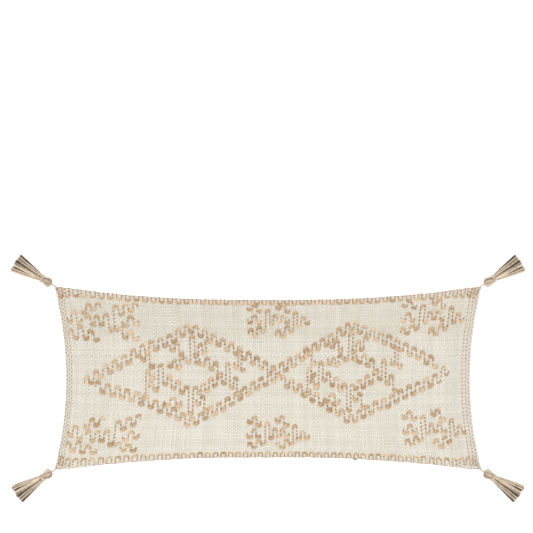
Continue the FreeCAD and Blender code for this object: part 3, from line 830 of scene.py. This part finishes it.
def yarn_path(floats, fatness, inlay, chance):
    """One jute run as points (column, row, lift, radius, tone): fat floats over two warps,
    joined by thin legs that go over and under the wefts."""
    leg, fat = inlay.leg_radius, inlay.float_radius * fatness
    floats = sorted(floats) if floats[0][0] > floats[-1][0] else list(floats)
    count, points = len(floats), []
    floats = [(c + chance.uniform(-0.12, 0.12), r + chance.uniform(-0.3, 0.3)) for c, r in floats]
    for k, (c, r) in enumerate(floats):
        near = [floats[j][1] for j in (k - 1, k + 1) if 0 <= j < count] or [ROWS - r]
        bend = 1 if r < sum(near) / len(near) else -1
        bend, tail = (bend, 1.6) if count > 1 else (-bend, 4.6)
        left = min((c + floats[k - 1][0]) / 2, c - 0.85) if k else c - 1.05
        right = max((c + floats[k + 1][0]) / 2, c + 0.85) if k + 1 < count else c + 1.05
        a, b = floats[max(k - 2, 0)], floats[min(k + 2, count - 1)]
        tilt = max(-0.55, min(0.55, 0.8 * (b[1] - a[1]) / max(b[0] - a[0], 1)))
        thick = fat * chance.uniform(0.85, 1.12) * (0.9 if bend > 0 else 1.12)
        tone = chance.uniform(0.45, 1.0)
        ends = [r + bend * 0.9 + tilt * (edge - c) for edge in (left, right)]
        if k == 0:
            points += leg_points((left, ends[0] + bend * tail), (left, ends[0]), leg, chance)
        else:
            points += leg_points(end, (left, ends[0]), leg, chance)
        for t in np.linspace(-1, 1, 11):
            arch = math.sqrt(max(1 - t * t, 0))
            place = (left + right) / 2 + t * (right - left) / 2
            row = r + bend * 0.9 * (1 - arch) + tilt * (place - c)
            swell = leg + (thick - leg) * arch ** 0.55
            # Each float has its own tone, which falls towards its ends where the float dips into the cloth:
            # painted shade.
            points.append((place, row, 0.0003 + swell * inlay.flatness * 0.75 * arch, swell,
                           tone * (0.72 + 0.28 * arch)))
        end = (right, ends[1])
    points += leg_points(end, (right, end[1] + bend * tail), leg, chance)
    return points


def leg_points(start, stop, radius, chance):
    """A thin run up or down a warp, over a weft and under the next. start and stop are
    (column, row)."""
    steps = max(2, round(abs(stop[1] - start[1]) / 0.25))
    points = []
    for t in np.linspace(0, 1, steps + 1)[1:-1]:
        column, row = (start[k] + (stop[k] - start[k]) * t for k in (0, 1))
        over = math.cos(math.pi * (row + start[0] // 2))
        # The legs get a low tone: painted shade of the yarn where it runs between the wefts.
        points.append((column, row, 0.0003 + 0.0013 * over, radius * (1.05 + 0.15 * over),
                       0.4 + chance.uniform(-0.25, 0.25)))
    return points


def on_cloth(points, grid, normals):
    """Lays chart points on the cloth: (column, row, lift, radius, tone) to (x, y, z, radius, tone)."""
    p = np.array(points, float)
    last = (grid.shape[0] - 1, grid.shape[1] - 1)
    at_x = np.clip((p[:, 0] - FIRST_COLUMN) / (LAST_COLUMN - FIRST_COLUMN), 0, 1) * last[0]
    at_y = np.clip(1 - p[:, 1] / ROWS, 0, 1) * last[1]
    i, j = np.clip(at_x.astype(int), 0, last[0] - 1), np.clip(at_y.astype(int), 0, last[1] - 1)
    f, h = (at_x - i)[:, None], (at_y - j)[:, None]

    def read(values):
        return ((values[i, j] * (1 - f) + values[i + 1, j] * f) * (1 - h)
                + (values[i, j + 1] * (1 - f) + values[i + 1, j + 1] * f) * h)

    places = read(grid) + read(normals) * p[:, 2:3]
    return np.concatenate([places, p[:, 3:5]], axis=1).tolist()


# ---- pieces --------------------------------------------------------------------------------

PANELS = {}


class PillowOperator(bpy.types.Operator):
    """Base of the pillow's operators"""
    bl_options = {"REGISTER", "UNDO"}


class PILLOW_OT_cover(PillowOperator):
    """Shapes the two woven panels and sews them along the border"""
    bl_idname = "pillow.cover"
    bl_label = "Cover"

    def execute(self, context):
        cover = context.scene.pillow_cover
        front, back = shaped_panels(cover)
        PANELS["front"], PANELS["back"] = front, back
        count = front[0].shape
        columns = np.linspace(FIRST_COLUMN, LAST_COLUMN, count[0])[:, None] + 0 * front[0][..., 0]
        rows = np.linspace(ROWS, 0, count[1])[None, :] + 0 * front[0][..., 0]
        edge = np.minimum(np.minimum(rows, ROWS - rows),
                          np.minimum(columns - FIRST_COLUMN, LAST_COLUMN - columns))
        chance = np.random.default_rng(11)
        per_column = chance.uniform(0.75, 1.15, int(LAST_COLUMN - FIRST_COLUMN) + 3)
        per_row = chance.uniform(0.75, 1.15, ROWS + 2)
        over = ((np.floor(columns - FIRST_COLUMN) + np.floor(rows)) % 2) == 0
        vigour = np.where(over, per_row[np.floor(rows).astype(int)],
                          per_column[np.floor(columns - FIRST_COLUMN).astype(int)])
        relief = weave_relief(columns - FIRST_COLUMN, rows) * vigour
        raised = front[0] + front[1] * (cover.relief * relief * np.clip(edge / 1.5, 0, 1))[..., None]
        pieces = [("cover_front_panel", "cover_front", raised, False, True),
                  ("cover_back_panel", "cover_back", back[0][::2, ::2], True, False)]
        for name, node, grid, flipped, is_raised in pieces:
            panel = self.panel(name, grid, flipped, cloth_material("cotton_" + name, cover, is_raised))
            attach(panel, "root")
            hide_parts(node)
        return {"FINISHED"}

    def panel(self, name, grid, flipped, material):
        """A panel with its cut edge folded in along the zip's side."""
        side = -1 if flipped else 1
        index = np.arange(grid.shape[0] * grid.shape[1]).reshape(grid.shape[:2])
        at_zip = np.flatnonzero(np.abs(grid[:, 0, 0]) < ZIP_REACH + 0.008)
        lip = grid[at_zip, 0]
        fold = lip + np.array([0, 0.0016, -side * 0.0004])
        hem = lip + np.array([0, 0.0022, side * 0.0080])
        hem[:, 1] = np.maximum(hem[:, 1], -0.1535)
        inside = index.size + np.arange(2 * len(at_zip)).reshape(2, -1)
        strip = np.stack([inside[1], inside[0], index[at_zip, 0]], axis=1)
        places = np.concatenate([grid.reshape(-1, 3), fold, hem])
        faces = quads(index, flipped) + quads(strip, flipped)
        panel = shade_smooth(mesh_object(name, places, faces, material=material))
        u = np.linspace(0, 1, grid.shape[0])
        v = np.linspace(0, 1, grid.shape[1])
        chart = [np.stack(np.meshgrid(u, v, indexing="ij"), -1).reshape(-1, 2)]
        chart += [np.stack([u[at_zip], 0 * at_zip + depth], -1) for depth in (-0.004, -0.02)]
        per_vertex = np.concatenate(chart)
        loops = np.empty(len(panel.data.loops), np.int32)
        panel.data.loops.foreach_get("vertex_index", loops)
        layer = panel.data.uv_layers.new(name="Chart")
        layer.data.foreach_set("uv", per_vertex[loops].astype(np.float32).ravel())
        return panel


class PILLOW_OT_inlay(PillowOperator):
    """Lays the jute yarns of the chart into the front panel"""
    bl_idname = "pillow.inlay"
    bl_label = "Jute inlay"

    def execute(self, context):
        inlay = context.scene.pillow_inlay
        chance = random.Random(5)
        grid, normals = PANELS["front"]
        lines = [on_cloth(yarn_path(floats, fatness, inlay, chance), grid, normals)
                 for floats, fatness in chart_runs()]
        thin = inlay.leg_radius * 0.5
        for column in SIDE_LINES:
            lines.append(on_cloth(leg_points((column, 1.0), (column, 99.0), thin, chance), grid, normals))
        for row in EDGE_LINES:
            lines.append(on_cloth([(column, row, 0.0007, thin * 1.3, 0.5 + chance.uniform(-0.3, 0.3))
                                   for column in np.arange(FIRST_COLUMN + 2.5, LAST_COLUMN - 2)],
                                  grid, normals))
        jute = yarn_material("twisted_jute", inlay.jute, inlay.jute_deep, inlay.jute_olive, 0.009)
        floats = yarns("inlay_yarns", lines, jute, 8, inlay.flatness)
        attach(floats, "root")
        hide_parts("jute_inlay")
        fuzz = grown("inlay_fuzz", floats, shared_tree("Fuzz"), jute, Density=FUZZ_DENSITY,
                     Length=FUZZ_LENGTH, Thickness=FUZZ_THICKNESS, Seed=3)
        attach(fuzz, "root")
        return {"FINISHED"}


class PILLOW_OT_insert(PillowOperator):
    """Makes the insert's casing and the filling inside it"""
    bl_idname = "pillow.insert"
    bl_label = "Insert"

    def execute(self, context):
        ticking = simple_fabric("casing_twill", linear(246, 244, 238), linear(214, 211, 202), 1200.0,
                                pitch=0.0006)
        fibre = simple_fabric("filling_fibre", linear(248, 247, 244), linear(222, 221, 216), 500.0)
        for name, nodes, slot, depth, setback, material in (
                ("insert_casing", ("insert_casing_front", "insert_casing_back"), "insert_ticking",
                 0.0026, 0.014, ticking),
                ("insert_filling", ("insert_fill",), "fibre_fill", 0.0046, 0.0162, fibre)):
            x = np.linspace(-PANEL_HALF_LONG, PANEL_HALF_LONG, 81)
            y = np.linspace(-PANEL_HALF_WIDE, PANEL_HALF_WIDE, 41)
            u, v = plan_fractions(x, y)
            upper = pillow_surface(u, v, TOP_RISE - depth, setback, depth)
            lower = pillow_surface(u, v, depth - BOTTOM_RISE, setback, depth)
            pad = shade_smooth(sewn_sheets(name, upper, lower, material)[0])
            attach(pad, "root")
            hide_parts(*nodes)
        return {"FINISHED"}


class PILLOW_OT_seams(PillowOperator):
    """Sews the seam stitches, the zip's stitches, its teeth and the care label"""
    bl_idname = "pillow.seams"
    bl_label = "Seams and zip"

    def execute(self, context):
        closure = context.scene.pillow_closure
        thread = simple_fabric("sewing_thread", linear(232, 222, 202), linear(186, 172, 148), 2600.0)
        front, back = PANELS["front"][0], PANELS["back"][0]
        border = [front[::4, -1], front[-1, ::-4], front[::-4, 0], front[0, ::4]]
        lines = []
        for side in border:
            inset = side * np.array([0.9987, 0.997, 1.0])
            keep = [(x, y, z, 1.0, 1.0) for x, y, z in inset
                    if not (y < -0.15 and abs(x) < ZIP_REACH + 0.006)]
            gap = [k for k in range(1, len(keep))
                   if math.dist(keep[k][:3], keep[k - 1][:3]) > 0.05]
            cuts = [0] + gap + [len(keep)]
            lines += [keep[a:b] for a, b in zip(cuts, cuts[1:]) if b - a > 2]
        seam = beads("seam_stitches", lines, thread, Spacing=closure.stitch_pitch,
                     Size=(0.0022, 0.0009, 0.0009), Facing=(0.0, 0.0, 1.0), Lean=0.35,
                     Variation=0.15, Seed=2)
        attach(seam, "root")

        stitches = []
        for grid, side in ((front, 1), (back, -1)):
            lip = grid[:, 8]
            stitches.append([(x, y - 0.0004, z, 1.0, 1.0) for x, y, z in lip if abs(x) < ZIP_REACH])
        topstitch = beads("zip_stitches", stitches, thread, Spacing=closure.stitch_pitch,
                          Size=(0.0024, 0.0008, 0.0008), Facing=(0.0, -1.0, 0.0), Lean=0.0,
                          Variation=0.1, Seed=4)
        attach(topstitch, "root")

        nylon = simple_fabric("zip_nylon", linear(236, 228, 212), linear(205, 195, 176), 2000.0, 0.45)
        for name in ("upper", "lower"):
            low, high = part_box("zipper_coil_" + name)
            side = 1 if name == "upper" else -1
            near = low.z if side > 0 else high.z
            middle = (low.y + high.y) / 2
            line = [(x, middle, near + side * 0.0010, 1.0, 1.0) for x in np.linspace(low.x, high.x, 40)]
            teeth = beads("zip_teeth_" + name, [line], nylon, Spacing=closure.teeth_pitch,
                          Size=(0.0011, 0.0031, 0.0020), Facing=(0.0, -1.0, 0.0), Lean=0.12 * side,
                          Variation=0.0, Seed=1)
            core = yarns("zip_core_" + name, [[(x, middle + 0.0003, near + side * 0.0021, 0.0007, 1.0)
                                               for x in (low.x, high.x)]], nylon, 8)
            teeth = joined("zip_teeth_" + name, [teeth, core])
            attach(teeth, "root")
            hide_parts("zipper_coil_" + name)

        tape = simple_fabric("zip_twill", tuple(closure.tape), linear(190, 180, 160), 1500.0, pitch=0.0007)
        metal = metal_material("antique_metal", closure)
        for node, material in (("zipper_tape_upper", tape), ("zipper_tape_lower", tape),
                               ("zipper_top_stops", metal), ("zipper_bottom_stop", metal),
                               ("zipper_slider", metal), ("zipper_pull", metal)):
            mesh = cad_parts[node].data
            mesh.materials.clear()
            mesh.materials.append(material)
        self.label()
        return {"FINISHED"}

    def label(self):
        """A blank label folded over and caught in the seam."""
        satin = simple_fabric("label_satin", linear(244, 242, 236), linear(212, 208, 198), 1800.0, 0.5,
                              0.0004)
        low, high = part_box("care_label")
        columns, rows = 25, 33
        places = []
        for i in range(columns):
            x = low.x + (high.x - low.x) * i / (columns - 1)
            for j in range(rows):
                t = j / (rows - 1)
                z = high.z - 0.001 + (low.z - high.z + 0.001) * t
                out = low.y + 0.0012 + (high.y - low.y - 0.0012) * t
                ripple = 0.0006 * t * math.sin(9.0 * i / columns + 1.0)
                places.append((x, out + ripple, z))
        index = np.arange(columns * rows).reshape(columns, rows)
        label = shade_smooth(mesh_object("label_fold", places, quads(index), material=satin))
        thick = label.modifiers.new("Cloth", "SOLIDIFY")
        thick.thickness, thick.offset = 0.0005, 0.0
        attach(label, "root")
        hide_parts("care_label")


def tassel_place(corner):
    """Carries a point of the plain tassel, in millimetres along +X, to its corner, in metres."""
    flip = Vector((*CORNERS[corner], 1))
    hinge = Vector((HALF_LENGTH + CORD_GAP * MM * math.cos(TASSEL_AZIMUTH),
                    HALF_WIDTH + CORD_GAP * MM * math.sin(TASSEL_AZIMUTH), CORNER_LEVEL))
    turn = (Matrix.Rotation(TASSEL_AZIMUTH + math.radians(TASSEL_LIE[corner]), 3, "Z")
            @ Matrix.Rotation(TASSEL_SLOPE, 3, "Y"))

    def carry(x, y, z):
        return (hinge + turn @ Vector((x, y, z)) * MM) * flip
    return carry


# The dark strands between the light ones are painted shade of the gaps between strands.
STRAND_TONES = (1.0, 0.5, 0.95, 0.3, 1.0, 0.65, 0.2)       # light strands with a dark one between
HEAD_START, HEAD_END, SKIRT_END, TURNING = 5.0, 26.8, 93.5, 3.0
HEAD_OUTLINE = ([5.0, 6.6, 9.4, 13.0, 17.0, 21.0, 24.5, 27.5], [2.2, 6.2, 9.1, 10.0, 9.5, 8.3, 7.0, 6.8])


class PILLOW_OT_tassels(PillowOperator):
    """Ties a tassel to each corner"""
    bl_idname = "pillow.tassels"
    bl_label = "Tassels"

    def execute(self, context):
        tassel = context.scene.pillow_tassel
        strand = yarn_material("twisted_cotton", tassel.tan, tassel.shade, tassel.olive, 0.0036, 0.0002)
        for corner in CORNERS:
            carry = tassel_place(corner)
            chance = random.Random(20)
            self.skirt(corner, carry, tassel, strand, chance)
            self.head(corner, carry, strand, chance)
            self.binding(corner, carry, strand)
            self.cord(corner, carry, strand)
        return {"FINISHED"}

    def finish(self, piece, body, node=None):
        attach(piece, body)
        if node:
            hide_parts(node)

    def skirt(self, corner, carry, tassel, material, chance):
        """Strands in layers that lie round the neck and fan out flat towards the cut end."""
        stations = [22.0, 29.4, 40.0, 51.9, 73.0, SKIRT_END]
        wide = [5.4, 5.6, 8.4, 11.6, 17.4, 22.0]
        deep = [5.4, 5.6, 6.4, 6.8, 7.0, 6.8]
        # Each layer: how far out it lies, which face, how many strands, and how light they are; the inner
        # layers are dark, painted shade deep in the bundle.
        layers = ((1.0, 1, 11, 1.0), (0.62, 1, 14, 0.16), (0.2, 1, 12, 0.0), (0.62, -1, 14, 0.16),
                  (1.0, -1, 11, 1.0))
        total = sum(layer[2] for layer in layers)
        lines = []
        for level, face, count, light in layers:
            count = max(3, round(count * tassel.strands / total))
            for k in range(count):
                q = (2 * (k + 0.5) / count - 1) * (0.97 if level == 1.0 else 0.9)
                aim = q + chance.uniform(-0.05, 0.05)
                end = SKIRT_END + chance.uniform(-2.4, 1.0) - 2.0 * q * q
                bend, lift = chance.uniform(-1, 1), chance.uniform(-0.8, 0.8)
                tone = light * STRAND_TONES[(k + chance.choice((0, 0, 1))) % len(STRAND_TONES)]
                line = []
                for t in np.linspace(0, 1, 24):
                    x = stations[0] + (end - stations[0]) * t
                    fan = min(1.0, 1.6 * t)
                    turn = q * 1.45
                    side = (1 - fan) * math.sin(turn) + fan * (q + (aim - q) * t)
                    rise = (1 - fan) * math.cos(turn) + fan * math.sqrt(max(0.0, 1 - 0.8 * q * q))
                    y = level ** (1 - fan) * side * float(np.interp(x, stations, wide))
                    y += 0.8 * bend * t * math.sin(3.4 * t + bend)
                    z = face * level * rise * float(np.interp(x, stations, deep)) + lift * t
                    thick = tassel.strand_radius * (0.6 + 0.4 * min(1.0, t / 0.3))
                    line.append((*carry(x, y, z), thick, tone))
                lines.append(line)
        strands = yarns("tassel_strands_" + corner, lines, material, 7)
        self.finish(strands, "tassel_" + corner, f"tassel_{corner}_skirt")

    def head(self, corner, carry, material, chance):
        """Strands folded over a ball, with a dark core, painted shade, that closes what shows between them.
        """
        lines = []
        count = 22
        for k in range(count):
            # Strands of differing tone; the darker ones also paint the shade between strands.
            tone = chance.choice((0.95, 0.8, 0.55, 0.3))
            line = []
            for t in np.linspace(0, 1, 15):
                x = HEAD_START + 0.6 + (HEAD_END - HEAD_START + 1.0) * t
                angle = 2 * math.pi * k / count + 0.7 * t
                out = float(np.interp(x, *HEAD_OUTLINE)) - 1.25
                thick = min(0.00125, 0.00012 * max(out, 1.0) + 0.0002)
                line.append((*carry(x, out * math.cos(angle), out * math.sin(angle)), thick, tone))
            lines.append(line)
        wraps = yarns("tassel_wraps_" + corner, lines, material, 7)
        spine = np.linspace(HEAD_START + 0.2, HEAD_END + 2, 16)
        core = yarns("tassel_core_" + corner,
                     [[(*carry(x, 0, 0), (float(np.interp(x, *HEAD_OUTLINE)) - 1.5) * MM, 0.1)
                       for x in spine]],
                     material, 18)
        head = joined("tassel_ball_" + corner, [wraps, core])
        self.finish(head, "tassel_" + corner, f"tassel_{corner}_head")

    def binding(self, corner, carry, material):
        turns, pitch = 4, 1.15
        line = []
        for k in range(turns * 18 + 1):
            angle = 2 * math.pi * k / 18
            line.append((*carry(25.2 + pitch * k / 18, 7.35 * math.cos(angle), 7.35 * math.sin(angle)),
                         0.00078, 0.8))
        ring = yarns("tassel_winding_" + corner, [line], material, 7)
        self.finish(ring, "tassel_" + corner, f"tassel_{corner}_binding")

    def cord(self, corner, carry, material):
        """A two-ply cord in three lengths, one for each body, that meet at its turning points."""
        hanger, bundle = f"tassel_{corner}_hanger", "tassel_" + corner
        for name, start, stop, body, node in (
                ("tassel_eye_", -7.0, 0.5, "root", None),
                ("tassel_cord_", -0.7, TURNING + 0.7, hanger, f"tassel_{corner}_cord"),
                ("tassel_neck_", TURNING - 0.5, HEAD_START + 2.0, bundle, None)):
            plies = []
            for ply in (0, math.pi):
                steps = np.linspace(start, stop, 3 + round((stop - start) * 4))
                plies.append([(*carry(x, 0.62 * math.cos(1.7 * x + ply), 0.62 * math.sin(1.7 * x + ply)),
                               0.00078, 0.75) for x in steps])
            self.finish(yarns(name + corner, plies, material, 7), body, node)


class PILLOW_OT_stage(PillowOperator):
    """Sets the floor, the lights and the camera"""
    bl_idname = "pillow.stage"
    bl_label = "Stage"

    def execute(self, context):
        stage = context.scene.pillow_stage
        scene = context.scene
        reach = 12.0
        floor = mesh_object("floor", [(-reach, -reach, -0.0003), (reach, -reach, -0.0003),
                                      (reach, reach, -0.0003), (-reach, reach, -0.0003)], [(0, 1, 2, 3)])
        pale, g, shader = new_material("floor", 0.9)
        shader.inputs["Base Color"].default_value = (0.35, 0.35, 0.35, 1)
        shader.inputs["Emission Color"].default_value = (1, 1, 1, 1)
        shader.inputs["Emission Strength"].default_value = 0.85
        floor.data.materials.append(pale)

        world = bpy.data.worlds.new("studio")
        scene.world = world
        world.use_nodes = True
        world.node_tree.nodes["Background"].inputs[0].default_value = (1.0, 0.99, 0.97, 1)
        world.node_tree.nodes["Background"].inputs[1].default_value = 0.8 * stage.light
        for name, place, width, power in (("key", (-1.3, -2.4, 3.0), 2.2, 32),
                                          ("fill", (1.2, 1.8, 3.2), 2.6, 26)):
            lamp = bpy.data.lights.new(name, "AREA")
            lamp.size = width
            lamp.energy = power * stage.light
            thing = bpy.data.objects.new(name, lamp)
            thing.location = place
            thing.rotation_euler = (Vector((0, 0, 0.06)) - Vector(place)).to_track_quat("-Z", "Y").to_euler()
            scene.collection.objects.link(thing)

        lens = bpy.data.cameras.new("camera")
        lens.lens = stage.lens
        lens.sensor_width = 36.0
        camera = bpy.data.objects.new("camera", lens)
        away = stage.frame_width * lens.lens / lens.sensor_width
        camera.location = (-0.003, 0.227, 0.066 + away)
        lens.clip_end = 50.0
        scene.collection.objects.link(camera)
        scene.camera = camera
        scene.view_settings.view_transform = "Standard"
        return {"FINISHED"}


class PILLOW_PT_panel(bpy.types.Panel):
    """Lists the pillow's pieces and their settings"""
    bl_idname = "PILLOW_PT_panel"
    bl_label = "Woven Lumbar Pillow"
    bl_space_type = "VIEW_3D"
    bl_region_type = "UI"
    bl_category = "Pillow"

    def draw(self, context):
        for kind in OPERATORS:
            self.layout.operator(kind.bl_idname)
        for key, group in SETTINGS.items():
            box = self.layout.box()
            for field in group.__annotations__:
                box.prop(getattr(context.scene, key), field)


OPERATORS = (PILLOW_OT_stage, PILLOW_OT_cover, PILLOW_OT_inlay, PILLOW_OT_insert, PILLOW_OT_seams,
             PILLOW_OT_tassels)


def register():
    for kind in (*SETTINGS.values(), *OPERATORS, PILLOW_PT_panel):
        bpy.utils.register_class(kind)
    for key, group in SETTINGS.items():
        setattr(bpy.types.Scene, key, PointerProperty(type=group))


def unregister():
    for key in SETTINGS:
        delattr(bpy.types.Scene, key)
    for kind in (PILLOW_PT_panel, *reversed(OPERATORS), *reversed(SETTINGS.values())):
        bpy.utils.unregister_class(kind)


def main():
    register()
    bpy.ops.pillow.stage()
    bpy.ops.pillow.cover()
    bpy.ops.pillow.inlay()
    bpy.ops.pillow.insert()
    bpy.ops.pillow.seams()
    bpy.ops.pillow.tassels()


if __name__ == "__main__":
    main()
